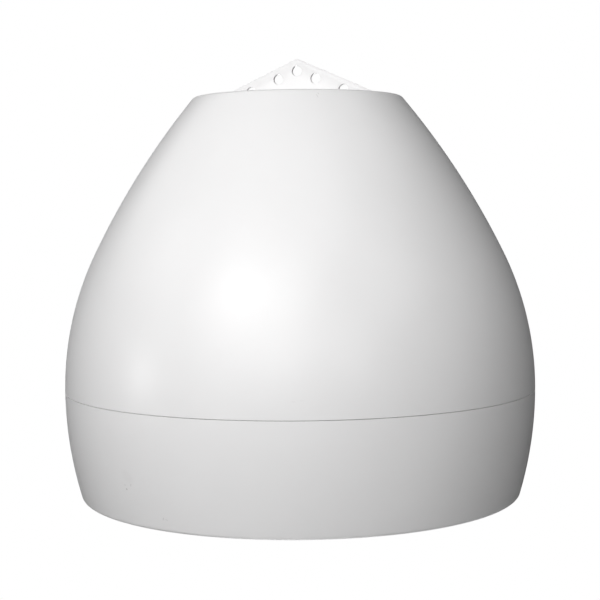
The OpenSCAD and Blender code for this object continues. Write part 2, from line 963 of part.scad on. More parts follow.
module driver_cap() {
  cap_r = driver_d / 2 - 1;
  color(black)
    rotate_extrude($fn = mid_fn)
      difference() {
        polygon([[0, driver_top], [cap_r, driver_top], [cap_r, driver_top + 8],
          [cap_r - 8, driver_top + driver_cap_h], [0, driver_top + driver_cap_h]]);
        polygon([[0, driver_top - touch], [cap_r - 5, driver_top - touch], [cap_r - 5, driver_top + 6],
          [cap_r - 12, driver_top + driver_cap_h - 3], [0, driver_top + driver_cap_h - 3]]);
      }
}

// Ports

module ports() {
  flange_h = 3;
  color(black)
    around(port_r, port_angles)
      rotate_extrude($fn = mid_fn)
        polygon([
          [port_d / 2 + 2, baffle_z - flange_h],
          [port_outer + port_lip, baffle_z - flange_h],
          [port_outer + port_lip, baffle_z],
          [port_outer, baffle_z],
          [port_outer, baffle_z + port_l],
          [port_d / 2, baffle_z + port_l],
          [port_d / 2, baffle_z]
        ]);
}

// Grille

row_h = hole_pitch * sqrt(3) / 2;

// Staggered rows of perforations that lie whole inside the field
module perforation() {
  rows = floor(field_r / row_h);
  for (j = [-rows : rows]) {
    shift = (abs(j) % 2) * hole_pitch / 2;
    reach = floor(field_r / hole_pitch);
    for (i = [-reach - 1 : reach])
      if (norm([i * hole_pitch + shift, j * row_h]) < field_r - hole_d / 2)
        translate([i * hole_pitch + shift, j * row_h])
          circle(d = hole_d, $fn = 24);
  }
}

module grille() {
  color([0.90, 0.90, 0.89]) {
    translate([0, 0, grille_inset])
      linear_extrude(grille_t)
        difference() {
          circle(r = grille_r, $fn = round_fn);
          perforation();
          grille_boss_places()
            circle(d = 3.4, $fn = small_fn);
        }
    ring(grille_r - grille_t, grille_r, grille_inset, grille_inset + grille_edge_h);
  }
}

module grille_cloth() {
  color(black)
    ring(0, grille_boss_r - grille_boss_d / 2 - grille_fit, grille_back, grille_back + cloth_t);
}

module grille_screws() {
  color(steel)
    grille_boss_places()
      translate([0, 0, grille_inset])
        screw_up(2.5, 12, 5.5, 2);
}

// Crossover and transformer

bench_r = (cutout_r + column_r - column_d / 2) / 2 + bench_gap / 2;
board_z = baffle_top + standoff_h;
board_top = board_z + board_t;

module board_corner_places() {
  for (x = [-1, 1], y = [-1, 1])
    translate([x * (board_l / 2 - 5), -bench_r + y * (board_w / 2 - 5), 0])
      children();
}

module crossover_board() {
  color([0.20, 0.36, 0.22])
    difference() {
      translate([-board_l / 2, -bench_r - board_w / 2, board_z])
        cube([board_l, board_w, board_t]);
      board_corner_places()
        translate([0, 0, board_z - touch])
          cylinder(d = 3.4, h = board_t + 2 * touch, $fn = small_fn);
    }
}

module board_standoffs() {
  color(brass)
    board_corner_places() {
      translate([0, 0, baffle_top])
        cylinder(d = 6, h = standoff_h, $fn = 6);
      translate([0, 0, board_z])
        cylinder(d = 3, h = board_t, $fn = small_fn);
      translate([0, 0, board_top])
        cylinder(d = 5.5, h = 2, $fn = small_fn);
    }
}

// One air-cored coil lying flat and one standing on its rim
module coils() {
  color(copper) {
    translate([-board_l / 2 + 30, -bench_r, board_top])
      ring(8, 19, 0, 18, mid_fn);
    translate([board_l / 2 - 38, -bench_r, board_top + 17])
      rotate([0, 90, 0])
        ring(8, 17, -9, 9, mid_fn);
  }
}

module capacitors() {
  color([0.82, 0.66, 0.20])
    for (y = [-14, 4])
      translate([-board_l / 2 + 54, -bench_r + y, board_top + 8])
        rotate([0, 90, 0])
          cylinder(d = 16, h = 16, $fn = mid_fn);
}

module resistors() {
  color([0.88, 0.88, 0.85])
    for (x = [-9, 1])
      translate([board_l / 2 - 14 + x, -bench_r - 12, board_top])
        cube([7, 24, 8]);
}

module transformer_core() {
  color(dark_steel)
    translate([-core_w / 2, bench_r - stack_t / 2, baffle_top])
      difference() {
        cube([core_w, stack_t, core_h]);
        for (x = [-1, 1])
          translate([core_w / 2 + x * core_w / 4 - core_w / 12, -touch, core_h / 6])
            cube([core_w / 6, stack_t + 2 * touch, core_h * 2 / 3]);
      }
}

module transformer_winding() {
  color([0.85, 0.75, 0.35])
    difference() {
      translate([-core_w / 3 + 0.3, bench_r - stack_t / 2 - 10, baffle_top + core_h / 6 + 0.3])
        cube([core_w * 2 / 3 - 0.6, stack_t + 20, core_h * 2 / 3 - 0.6]);
      translate([-core_w / 6 - 0.3, bench_r - stack_t / 2 - 0.3, baffle_top])
        cube([core_w / 3 + 0.6, stack_t + 0.6, core_h]);
    }
}

strap_t = 1.5;
strap_foot = 12;
strap_screw_d = 4;

// Steel strap over the core with a foot at each end
module transformer_strap() {
  color(steel)
    difference() {
      translate([0, bench_r + stack_t / 2 - 4, 0])
        rotate([90, 0, 0])
          linear_extrude(stack_t - 8)
            difference() {
              union() {
                translate([-core_w / 2 - strap_t, baffle_top])
                  square([core_w + 2 * strap_t, core_h + strap_t]);
                translate([-core_w / 2 - strap_foot, baffle_top])
                  square([core_w + 2 * strap_foot, strap_t]);
              }
              translate([-core_w / 2, baffle_top - touch])
                square([core_w, core_h + touch]);
            }
      strap_screw_places()
        translate([0, 0, baffle_top - touch])
          cylinder(d = 4.4, h = strap_t + 2 * touch, $fn = small_fn);
    }
}

module strap_screw_places() {
  for (x = [-1, 1])
    translate([x * (core_w / 2 + strap_foot / 2 + strap_t / 2), bench_r, 0])
      children();
}

module strap_screws() {
  color(steel)
    strap_screw_places()
      translate([0, 0, baffle_top + strap_t])
        mirror([0, 0, 1])
          screw_up(strap_screw_d, 14, 7.5, 2.5);
}

// Wadding against the ribs, all round inside the bell
module damping_lining() {
  inset = wall + rib_depth + 0.5;
  color([0.86, 0.85, 0.80])
    rotate_extrude($fn = round_fn)
      intersection() {
        difference() {
          bell_section(inset, seam_z, under_z - 30);
          bell_section(inset + lining_t, seam_z, under_z);
        }
        translate([0, seam_z + lining_z])
          square([belly_r, bell_h]);
      }
}

bell();
skirt();
seam_gasket();
hanging_plate();
foot_plate();
foot_bolts();
foot_washers();
load_plate();
foot_nuts();
terminal_tray();
terminal_block();
terminal_screws();
tray_screws();
baffle();
baffle_gasket();
clamp_screws();
woofer_gasket();
woofer_basket();
woofer_screws();
surround();
cone();
spider();
voice_coil();
front_pole_plate();
woofer_magnet();
back_pole_plate();
horn();
driver_plate();
driver_magnet();
driver_diaphragm();
driver_cap();
ports();
grille();
grille_cloth();
grille_screws();
crossover_board();
board_standoffs();
coils();
capacitors();
resistors();
transformer_core();
transformer_winding();
transformer_strap();
strap_screws();
damping_lining();
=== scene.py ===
import json
import math

import bmesh
import bpy
from mathutils import Matrix, Vector


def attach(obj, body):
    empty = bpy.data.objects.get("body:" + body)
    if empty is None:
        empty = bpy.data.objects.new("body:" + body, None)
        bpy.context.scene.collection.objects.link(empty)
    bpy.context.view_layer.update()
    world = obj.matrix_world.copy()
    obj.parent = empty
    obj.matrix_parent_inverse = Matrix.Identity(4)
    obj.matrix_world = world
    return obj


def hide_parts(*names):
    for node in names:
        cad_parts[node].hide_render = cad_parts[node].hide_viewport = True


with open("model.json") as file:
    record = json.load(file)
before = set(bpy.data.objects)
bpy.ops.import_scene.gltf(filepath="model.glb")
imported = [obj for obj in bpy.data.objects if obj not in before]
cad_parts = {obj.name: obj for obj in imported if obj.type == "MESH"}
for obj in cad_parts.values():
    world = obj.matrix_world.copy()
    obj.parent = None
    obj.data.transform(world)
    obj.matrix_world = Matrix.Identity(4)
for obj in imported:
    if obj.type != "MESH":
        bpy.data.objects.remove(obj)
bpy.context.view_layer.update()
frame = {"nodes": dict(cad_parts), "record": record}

# Sizes in metres, the same as the solids'
BELLY_R = 0.245
SEAM_Z = 0.111
TOP_Z = 0.413
WALL = 0.005
SEAM_GAP = 0.0006
BELLY_ARC = 0.320
FLANK_ARC = 0.800
SKIRT_ARC = 0.390
TURN = math.radians(26)
SHOULDER_F = 0.0065
BASE_F = 0.005
RIM_W = 0.010
WELL_Z = 0.405
UNDER_Z = 0.399
LEDGE_Z = 0.052
LEDGE_T = 0.006
LEDGE_W = 0.024
TONGUE_H = 0.012
TONGUE_T = 0.0035
GRILLE_INSET = 0.004
GRILLE_T = 0.0012
GRILLE_EDGE_H = 0.008
RIM_WALL_H = 0.020
WEB_Z = 0.0123
BOSS_R = 0.2108
RIB_T = 0.003
RIB_DEPTH = 0.008
COLUMN_R = 0.2235
COLUMN_TOP = 0.151
BAFFLE_TOP = 0.0775
BOLT_X = 0.0720
BOLT_Y = 0.0170
TRAY_Y = 0.0520
TRAY_HOLE_L = 0.0608
TRAY_HOLE_W = 0.0328
TRAY_SCREW_X = 0.0330
TRAY_SCREW_Y = 0.0100
ROUND_STEPS = 256

BELLY_C = (BELLY_R - BELLY_ARC, SEAM_Z)
FLANK_C = (BELLY_C[0] + (BELLY_ARC - FLANK_ARC) * math.cos(TURN), BELLY_C[1] + (BELLY_ARC - FLANK_ARC) * math.sin(TURN))
SKIRT_C = (BELLY_R - SKIRT_ARC, SEAM_Z)


def arc_x(centre, radius, z):
    """Distance from the axis at which an arc passes a height."""
    return centre[0] + math.sqrt(radius ** 2 - (z - centre[1]) ** 2)


def arc(centre, radius, start, end, count):
    """Points along an arc in the section plane."""
    turns = [start + (end - start) * i / (count - 1) for i in range(count)]
    return [(centre[0] + radius * math.cos(t), centre[1] + radius * math.sin(t)) for t in turns]


def height_angle(centre, radius, z):
    return math.asin((z - centre[1]) / radius)


def mesh_piece(bm, name, material, *nodes, slot=None, sharp=32):
    """Makes an object of a bmesh, shades it and hides the CAD nodes it stands for."""
    mesh = bpy.data.meshes.new(name)
    bm.to_mesh(mesh)
    bm.free()
    mesh.shade_smooth()
    mesh.set_sharp_from_angle(angle=math.radians(sharp))
    piece = bpy.data.objects.new(name, mesh)
    bpy.context.collection.objects.link(piece)
    mesh.materials.append(material)
    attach(piece, "root")
    if nodes:
        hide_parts(*nodes)
    return piece


def lathe(points, steps=ROUND_STEPS):
    """Spins a section once round the axis."""
    bm = bmesh.new()
    verts = [bm.verts.new((x, 0, z)) for x, z in points]
    edges = [bm.edges.new(pair) for pair in zip(verts, verts[1:] + verts[:1])]
    bmesh.ops.spin(bm, geom=verts + edges, cent=(0, 0, 0), axis=(0, 0, 1), angle=2 * math.pi, steps=steps,
                   use_merge=True)
    bmesh.ops.remove_doubles(bm, verts=bm.verts, dist=1e-6)
    bmesh.ops.recalc_face_normals(bm, faces=bm.faces)
    return bm


def post(bm, x, y, radius, low, high, steps):
    """Adds an upright cylinder."""
    made = bmesh.ops.create_cone(bm, cap_ends=True, segments=steps, radius1=radius, radius2=radius, depth=high - low)
    bmesh.ops.translate(bm, verts=made["verts"], vec=(x, y, (low + high) / 2))


def radial_slab(bm, outline, thickness, turn):
    """Adds an upright web whose outline is given as distance from the axis and height."""
    face = bm.faces.new([bm.verts.new((x, -thickness / 2, z)) for x, z in outline])
    up = bmesh.ops.extrude_face_region(bm, geom=[face], use_keep_orig=True)
    top = [v for v in up["geom"] if isinstance(v, bmesh.types.BMVert)]
    bmesh.ops.translate(bm, verts=top, vec=(0, thickness, 0))
    bmesh.ops.rotate(bm, verts=top + list(face.verts), cent=(0, 0, 0), matrix=Matrix.Rotation(turn, 3, "Z"))
    bmesh.ops.recalc_face_normals(bm, faces=bm.faces)


def add_shells(piece, bm, sharp=32):
    """Adds closed shapes to a piece, which they run into."""
    bm.from_mesh(piece.data)
    bm.to_mesh(piece.data)
    bm.free()
    piece.data.shade_smooth()
    piece.data.set_sharp_from_angle(angle=math.radians(sharp))


def slab(bm, length, width, radius, y, low, high):
    """Adds an upright block with rounded corners."""
    ring = []
    for i, (cx, cy) in enumerate(((1, 1), (-1, 1), (-1, -1), (1, -1))):
        centre = (cx * (length / 2 - radius), y + cy * (width / 2 - radius))
        ring += arc(centre, radius, i * math.pi / 2, (i + 1) * math.pi / 2, 6)
    face = bm.faces.new([bm.verts.new((px, py, low)) for px, py in ring])
    up = bmesh.ops.extrude_face_region(bm, geom=[face])
    bmesh.ops.translate(bm, verts=[v for v in up["geom"] if isinstance(v, bmesh.types.BMVert)], vec=(0, 0, high - low))
    bmesh.ops.recalc_face_normals(bm, faces=bm.faces)


def apply_modifiers(piece):
    """Keeps what a piece's modifiers make as its own mesh."""
    depsgraph = bpy.context.evaluated_depsgraph_get()
    made = bpy.data.meshes.new_from_object(piece.evaluated_get(depsgraph))
    old = piece.data
    piece.modifiers.clear()
    piece.data = made
    made.name = piece.name
    bpy.data.meshes.remove(old)


def cut_with(piece, cutter_bm, sharp=32):
    """Cuts closed shapes out of a piece with the exact solver."""
    mesh = bpy.data.meshes.new("cutter")
    cutter_bm.to_mesh(mesh)
    cutter_bm.free()
    cutter = bpy.data.objects.new("cutter", mesh)
    bpy.context.collection.objects.link(cutter)
    cut = piece.modifiers.new("cut", "BOOLEAN")
    cut.operation = "DIFFERENCE"
    cut.solver = "EXACT"
    cut.object = cutter
    apply_modifiers(piece)
    bpy.data.objects.remove(cutter)
    bpy.data.meshes.remove(mesh)
    piece.data.shade_smooth()
    piece.data.set_sharp_from_angle(angle=math.radians(sharp))


def dressed(node, material, name, slot=None, bevel=0.0003, segments=2, sharp=30, merge=1e-5):
    """A smooth copy of a CAD node with its edges eased."""
    bm = bmesh.new()
    bm.from_mesh(frame["nodes"][node].data)
    bmesh.ops.remove_doubles(bm, verts=bm.verts, dist=merge)
    if bevel:
        bmesh.ops.dissolve_limit(bm, angle_limit=math.radians(0.5), verts=bm.verts, edges=bm.edges,
                                 use_dissolve_boundaries=False)
    piece = mesh_piece(bm, name, material, node, slot=slot, sharp=sharp)
    if bevel:
        ease = piece.modifiers.new("ease", "BEVEL")
        ease.width = bevel
        ease.segments = segments
        ease.limit_method = "ANGLE"
        ease.angle_limit = math.radians(sharp)
        ease.harden_normals = False
        apply_modifiers(piece)
        piece.data.shade_smooth()
        piece.data.set_sharp_from_angle(angle=math.radians(sharp + 12))
    return piece


class Value:
    """A number that a node gives, on which the usual operators add Math nodes."""

    def __init__(self, finish, socket):
        self.finish = finish
        self.socket = socket

    def _math(self, operation, *values):
        return self.finish.add("ShaderNodeMath", {"operation": operation}, dict(enumerate(values)))

    def __add__(self, other):
        return self._math("ADD", self, other)

    __radd__ = __add__

    def __sub__(self, other):
        return self._math("SUBTRACT", self, other)

    def __rsub__(self, other):
        return self._math("SUBTRACT", other, self)

    def __mul__(self, other):
        return self._math("MULTIPLY", self, other)

    __rmul__ = __mul__

    def __truediv__(self, other):
        return self._math("DIVIDE", self, other)

    def __rtruediv__(self, other):
        return self._math("DIVIDE", other, self)

    def __pow__(self, other):
        return self._math("POWER", self, other)

    def at_least(self, other):
        return self._math("MAXIMUM", self, other)

    def at_most(self, other):
        return self._math("MINIMUM", self, other)


class Finish:
    """A material with one Principled shader, whose changing values are written as expressions."""

    def __init__(self, name, colour, roughness, metallic=0.0, **fixed):
        self.material = bpy.data.materials.new(name)
        self.material.use_nodes = True
        self.material.diffuse_color = (*colour, 1)
        self.tree = self.material.node_tree
        self.shader = self.tree.nodes["Principled BSDF"]
        self.feed("Base Color", (*colour, 1))
        self.feed("Roughness", roughness)
        self.feed("Metallic", metallic)
        for socket, value in fixed.items():
            self.feed(socket.replace("_", " "), value)
        self.place = self.add("ShaderNodeTexCoord", {}, {}, output="Object")

    def add(self, kind, settings, inputs, output=0):
        node = self.tree.nodes.new(kind)
        for key, value in settings.items():
            if key == "stops":
                ramp = node.color_ramp
                ramp.elements[0].position, ramp.elements[0].color = value[0]
                ramp.elements[1].position, ramp.elements[1].color = value[-1]
                for position, shade in value[1:-1]:
                    ramp.elements.new(position).color = shade
            else:
                setattr(node, key, value)
        for key, value in inputs.items():
            self.join(node.inputs[key], value)
        return Value(self, node.outputs[output])

    def join(self, socket, value):
        if isinstance(value, Value):
            self.tree.links.new(value.socket, socket)
        else:
            socket.default_value = value

    def feed(self, name, value):
        self.join(self.shader.inputs[name], value)

    def noise(self, scale, detail=2.0, roughness=0.5, stretch=None):
        where = self.stretched(stretch) if stretch else self.place
        return self.add("ShaderNodeTexNoise", {}, {"Vector": where, "Scale": scale, "Detail": detail,
                                                   "Roughness": roughness})

    def stretched(self, scale, turn=(0, 0, 0), shift=(0, 0, 0)):
        return self.add("ShaderNodeMapping", {}, {"Vector": self.place, "Location": shift, "Rotation": turn,
                                                  "Scale": scale})

    def axis(self, name):
        return self.add("ShaderNodeSeparateXYZ", {}, {"Vector": self.place}, output=name)

    def between(self, factor, low, high):
        """A colour that goes from low to high."""
        return self.add("ShaderNodeMix", {"data_type": "RGBA", "clamp_factor": True},
                        {0: factor, 6: (*low, 1) if isinstance(low, tuple) else low,
                         7: (*high, 1) if isinstance(high, tuple) else high}, output=2)

    def step(self, value, low, high):
        """0 below low and 1 above high, with a soft change between."""
        return self.add("ShaderNodeMapRange", {"interpolation_type": "SMOOTHSTEP"},
                        {"Value": value, "From Min": low, "From Max": high, "To Min": 0.0, "To Max": 1.0})

    def stroke(self, start, end, thick):
        """1 along a short line on the object and 0 beyond its half thickness."""
        start, end = Vector(start), Vector(end)
        turn = (end - start).to_track_quat("Z", "Y").to_euler()
        put = self.add("ShaderNodeMapping", {"vector_type": "TEXTURE"},
                       {"Vector": self.place, "Location": (start + end) / 2, "Rotation": turn,
                        "Scale": (thick, thick, (end - start).length / 2 + thick)})
        far = self.add("ShaderNodeVectorMath", {"operation": "LENGTH"}, {0: put}, output="Value")
        return 1 - self.step(far, 0.45, 1.0)

    def relief(self, height, distance, strength=1.0):
        bump = self.add("ShaderNodeBump", {}, {"Height": height, "Distance": distance, "Strength": strength})
        self.feed("Normal", bump)


# Camera, at the photograph's place
CAMERA_FAR = 1.4541
CAMERA_SIDE = 0.00064
LOOK_TURN = math.radians(16)
camera_data = bpy.data.cameras.new("camera")
camera_data.lens = 83.05
camera_data.sensor_width = 36
camera_data.clip_start = 0.05
camera_data.clip_end = 50
camera = bpy.data.objects.new("camera", camera_data)
bpy.context.collection.objects.link(camera)
camera.matrix_world = (
    Matrix.Rotation(LOOK_TURN, 4, "Z") @ Matrix.Translation((CAMERA_SIDE, -CAMERA_FAR, 0.3002))
    @ Matrix.Rotation(math.radians(90) - 0.0679, 4, "X") @ Matrix.Rotation(-0.0095, 4, "Z"))
bpy.context.scene.camera = camera
bpy.context.scene.view_settings.view_transform = "Standard"

# Soft studio lamps: how far round from the camera and how high in degrees, width in metres, and power
LAMP_FAR = 2.2
LAMP_AIM = Vector((0, 0, 0.22))
LAMPS = [
    ("key", -32, 33, 0.9, 13.4), ("key_low", -32, 12, 0.9, 4.5), ("front_low", -8, 12, 0.9, 7.6),
    ("front", -8, 33, 0.9, 8.1), ("right_low", 20, 12, 0.9, 5.5), ("right_high", 20, 55, 0.9, 3.55),
    ("side", 50, 33, 0.9, 3.2), ("side_high", 90, 55, 0.9, 1.55), ("left", -80, 33, 0.9, 2.8),
    ("left_back", -120, 33, 0.9, 2.6), ("left_back_high", -120, 55, 0.9, 1.5), ("left_strip", -75, 0.3, 0.3, 5.0),
    ("back", 180, -10, 0.9, 20.0), ("below_back", 180, -60, 1.0, 7.0), ("below", 0, -85, 1.2, 9.5)]
for name, around, height, width, power in LAMPS:
    data = bpy.data.lights.new(name, "AREA")
    data.shape = "DISK"
    data.size = width
    data.energy = power
    lamp = bpy.data.objects.new(name, data)
    a, e = math.radians(around) + LOOK_TURN, math.radians(height)
    towards = Vector((math.sin(a) * math.cos(e), -math.cos(a) * math.cos(e), math.sin(e)))
    lamp.location = LAMP_AIM + towards * LAMP_FAR
    lamp.rotation_euler = (-towards).to_track_quat("-Z", "Y").to_euler()
    lamp.visible_camera = False
    bpy.context.collection.objects.link(lamp)

# World: white where the camera looks, nearly dark as a light
world = bpy.data.worlds.new("world")
bpy.context.scene.world = world
world.use_nodes = True
world_tree = world.node_tree
rays = world_tree.nodes.new("ShaderNodeLightPath")
seen = world_tree.nodes.new("ShaderNodeMath")
seen.operation = "MAXIMUM"
world_tree.links.new(rays.outputs["Is Camera Ray"], seen.inputs[0])
world_tree.links.new(rays.outputs["Is Transmission Ray"], seen.inputs[1])
glint = world_tree.nodes.new("ShaderNodeMath")
glint.operation = "MULTIPLY_ADD"
glint.inputs[1].default_value = 0.06
glint.inputs[2].default_value = 0.01
world_tree.links.new(rays.outputs["Is Glossy Ray"], glint.inputs[0])
strength = world_tree.nodes.new("ShaderNodeMath")
strength.operation = "MAXIMUM"
world_tree.links.new(seen.outputs[0], strength.inputs[0])
world_tree.links.new(glint.outputs[0], strength.inputs[1])
sky = world_tree.nodes["Background"]
sky.inputs["Color"].default_value = (1, 1, 1, 1)
world_tree.links.new(strength.outputs[0], sky.inputs["Strength"])

# Pale floor of the room, far below the hanging speaker
floor_bm = bmesh.new()
bmesh.ops.create_grid(floor_bm, x_segments=1, y_segments=1, size=12)
bmesh.ops.translate(floor_bm, verts=floor_bm.verts, vec=(0, 0, -2.2))
floor_mesh = bpy.data.meshes.new("floor")
floor_bm.to_mesh(floor_mesh)
floor_bm.free()
floor = bpy.data.objects.new("floor", floor_mesh)
bpy.context.collection.objects.link(floor)
floor_look = Finish("floor_paint", (0.86, 0.86, 0.86), 0.8)
seen_ray = floor_look.add("ShaderNodeLightPath", {}, {}, output="Is Camera Ray")
glow = floor_look.add("ShaderNodeEmission", {}, {"Color": (1, 1, 1, 1), "Strength": 1.0})
both = floor_look.add("ShaderNodeMixShader", {}, {0: seen_ray, 1: Value(floor_look, floor_look.shader.outputs[0]),
                                                  2: glow})
floor_look.tree.links.new(both.socket, floor_look.tree.nodes["Material Output"].inputs["Surface"])
floor_mesh.materials.append(floor_look.material)

# Finishes
WHITE = (0.88, 0.88, 0.875)


# Scuffs and fine scratches on the housing: both ends, half thickness, strength
MARKS = [
    ((-0.1122, -0.2107, 0.0410), (-0.1099, -0.2119, 0.0409), 0.0006, 0.22),
    ((-0.1093, -0.2114, 0.0374), (-0.1090, -0.2115, 0.0368), 0.0011, 0.42),
    ((-0.1038, -0.2150, 0.0408), (-0.1030, -0.2156, 0.0432), 0.0008, 0.25),
    ((-0.1100, -0.2130, 0.0520), (-0.1040, -0.2170, 0.0470), 0.0070, 0.035),
    ((-0.0690, -0.2218, 0.0122), (-0.0682, -0.2224, 0.0148), 0.0009, 0.20),
    ((-0.0668, -0.2226, 0.0132), (-0.0632, -0.2236, 0.0126), 0.0006, 0.18),
    ((0.0490, -0.0998, 0.4092), (0.0511, -0.1007, 0.4062), 0.00045, 0.38),
    ((0.0476, -0.1017, 0.4080), (0.0510, -0.1038, 0.4032), 0.0004, 0.30),
    ((0.0600, -0.2371, 0.1283), (0.0634, -0.2362, 0.1280), 0.0007, 0.06),
    ((0.0672, -0.2351, 0.1290), (0.0700, -0.2343, 0.1288), 0.0007, 0.06),
]


def moulded_white():
    look = Finish("moulded_white", WHITE, 0.36)
    cloud = look.noise(9, 3, 0.55)
    speck = look.noise(900, 1, 0.4)
    grain = look.noise(2600, 2, 0.6)
    scuff = 0.0
    for start, end, thick, strength in MARKS:
        scuff = scuff + look.stroke(start, end, thick) * strength
    scuff = scuff.at_most(1)
    shade = look.between(look.step(cloud, 0.3, 0.7), (0.877, 0.872, 0.8725), (0.893, 0.888, 0.8885))
    worn = look.between(scuff * (0.7 + speck * 0.6), shade, (0.30, 0.29, 0.28))
    look.feed("Base Color", worn)
    look.feed("Roughness", 0.345 + cloud * 0.03 + scuff * 0.12)
    look.relief(grain * 0.6 + speck * 0.4, 0.00004, 0.35)
    return look.material


def powder_white():
    look = Finish("powder_white", (0.83, 0.83, 0.826), 0.42)
    peel = look.noise(1100, 2, 0.5)
    cloud = look.noise(25, 2, 0.5)
    look.feed("Base Color", look.between(look.step(cloud, 0.3, 0.7), (0.842, 0.837, 0.8375), (0.858, 0.853, 0.8535)))
    look.feed("Roughness", 0.38 + peel * 0.08)
    look.relief(peel, 0.00006, 0.4)
    return look.material


def powder_grille():
    look = Finish("powder_grille", (0.84, 0.84, 0.835), 0.48)
    peel = look.noise(900, 2, 0.5)
    cloud = look.noise(12, 2, 0.5)
    look.feed("Base Color", look.between(look.step(cloud, 0.3, 0.7), (0.83, 0.83, 0.825), (0.85, 0.85, 0.846)))
    look.feed("Roughness", 0.44 + peel * 0.08)
    look.relief(peel, 0.00005, 0.35)
    return look.material


def metal(name, low, high, roughness, metallic=1.0, grain=(260, 260, 260), depth=0.00002):
    """Metal with a fine grain that changes its shade and its gloss."""
    look = Finish(name, low, roughness, metallic)
    blotch = look.noise(70, 3, 0.6)
    fine = look.noise(6, 3, 0.6, stretch=grain)
    look.feed("Base Color", look.between(look.step(blotch, 0.3, 0.7), low, high))
    look.feed("Roughness", roughness - 0.06 + fine * 0.12)
    look.relief(fine, depth, 0.4)
    return look.material


def plain(name, low, high, roughness, scale=40, fine_scale=900, depth=0.00005, spread=0.1, **fixed):
    """Moulded, cast, painted or pressed stuff: slow changes of shade over a fine grain."""
    look = Finish(name, low, roughness, **fixed)
    slow = look.noise(scale, 3, 0.55)
    fine = look.noise(fine_scale, 2, 0.6)
    look.feed("Base Color", look.between(look.step(slow, 0.3, 0.7), low, high))
    look.feed("Roughness", roughness - spread / 2 + fine * spread)
    look.relief(fine, depth, 0.5)
    return look.material


def turns(name, low, high, pitch, roughness, metallic=0.9):
    """Wire or tape wound round an upright axis, one band to a turn."""
    look = Finish(name, low, roughness, metallic)
    band = look.add("ShaderNodeTexWave", {"wave_type": "BANDS", "bands_direction": "Z", "wave_profile": "SIN"},
                    {"Vector": look.place, "Scale": 0.314 / pitch / 6.2832 * 2, "Distortion": 0.4, "Detail": 1.0,
                     "Detail Scale": 2.0}, output="Fac")
    look.feed("Base Color", look.between(band, low, high))
    look.feed("Roughness", roughness + band * 0.1)
    look.relief(band, 0.0002, 0.6)
    return look.material


def woven(name, low, high, pitch, roughness=0.85, alpha=1.0):
    """Plain weave of threads along X and Y."""
    look = Finish(name, low, roughness)
    scale = 0.314 / pitch / 6.2832 * 2
    warp = look.add("ShaderNodeTexWave", {"wave_type": "BANDS", "bands_direction": "X"},
                    {"Vector": look.place, "Scale": scale, "Distortion": 0.0}, output="Fac")
    weft = look.add("ShaderNodeTexWave", {"wave_type": "BANDS", "bands_direction": "Y"},
                    {"Vector": look.place, "Scale": scale, "Distortion": 0.0}, output="Fac")
    thread = warp * weft
    fuzz = look.noise(500, 2, 0.6)
    look.feed("Base Color", look.between(thread * 0.8 + fuzz * 0.2, low, high))
    look.relief(thread + fuzz * 0.3, 0.0002, 0.7)
    return look.material


FINISHES = {
    "plate_paint": powder_white(),
    "grille_paint": powder_grille(),
    "zinc": metal("bright_zinc", (0.62, 0.63, 0.65), (0.72, 0.72, 0.73), 0.34),
    "pole_steel": metal("turned_steel", (0.42, 0.43, 0.45), (0.55, 0.55, 0.57), 0.38, grain=(40, 40, 2600)),
    "load_steel": plain("black_primer", (0.030, 0.030, 0.032), (0.045, 0.045, 0.047), 0.55),
    "basket_paint": plain("cast_black", (0.020, 0.020, 0.022), (0.032, 0.032, 0.035), 0.5, fine_scale=600),
    "black_plastic": plain("black_moulding", (0.018, 0.018, 0.019), (0.026, 0.026, 0.028), 0.42),
    "brass": metal("plain_brass", (0.68, 0.50, 0.21), (0.80, 0.62, 0.30), 0.3),
    "baffle_board": plain("stained_board", (0.022, 0.021, 0.020), (0.040, 0.038, 0.036), 0.7, scale=160,
                          fine_scale=1600, depth=0.0002),
    "foam": plain("black_foam", (0.014, 0.014, 0.014), (0.030, 0.030, 0.030), 0.9, scale=300, fine_scale=1400,
                  depth=0.0004),
    "surround_rubber": plain("moulded_rubber", (0.016, 0.016, 0.017), (0.024, 0.024, 0.025), 0.5),
    "cone_paper": plain("pressed_paper", (0.020, 0.020, 0.022), (0.045, 0.045, 0.047), 0.8, scale=180,
                        fine_scale=800, depth=0.0003),
    "spider_cloth": woven("stiff_cloth", (0.32, 0.19, 0.06), (0.62, 0.44, 0.19), 0.0012),
    "copper": turns("wound_copper", (0.50, 0.20, 0.08), (0.85, 0.45, 0.24), 0.0009, 0.3),
    "ferrite": plain("sintered_ferrite", (0.030, 0.030, 0.033), (0.050, 0.050, 0.054), 0.6, scale=90,
                     fine_scale=1200, depth=0.0002),
    "diaphragm_metal": metal("thin_alloy", (0.72, 0.73, 0.75), (0.84, 0.85, 0.86), 0.22),
    "cloth": woven("black_cloth", (0.006, 0.006, 0.006), (0.030, 0.030, 0.031), 0.0008, 0.95),
    "board_laminate": plain("green_laminate", (0.012, 0.060, 0.022), (0.020, 0.085, 0.034), 0.35, scale=120),
    "capacitor_film": plain("yellow_film", (0.60, 0.34, 0.03), (0.70, 0.42, 0.05), 0.3),
    "resistor_ceramic": plain("white_ceramic", (0.66, 0.66, 0.61), (0.76, 0.76, 0.72), 0.7, fine_scale=1500),
    "laminations": metal("stacked_steel", (0.10, 0.10, 0.11), (0.22, 0.22, 0.23), 0.45, grain=(30, 2400, 30),
                         depth=0.0001),
    "winding": plain("yellow_tape", (0.55, 0.36, 0.09), (0.64, 0.44, 0.14), 0.4, scale=90),
    "wadding": plain("white_wadding", (0.66, 0.65, 0.61), (0.80, 0.79, 0.75), 0.95, scale=60, fine_scale=260,
                     depth=0.003),
    "housing": moulded_white(),
}
for entry in frame["record"]["subparts"]:
    held = frame["nodes"][entry["node"]]
    held.data.materials.clear()
    held.data.materials.append(FINISHES[entry["material_slot"]])

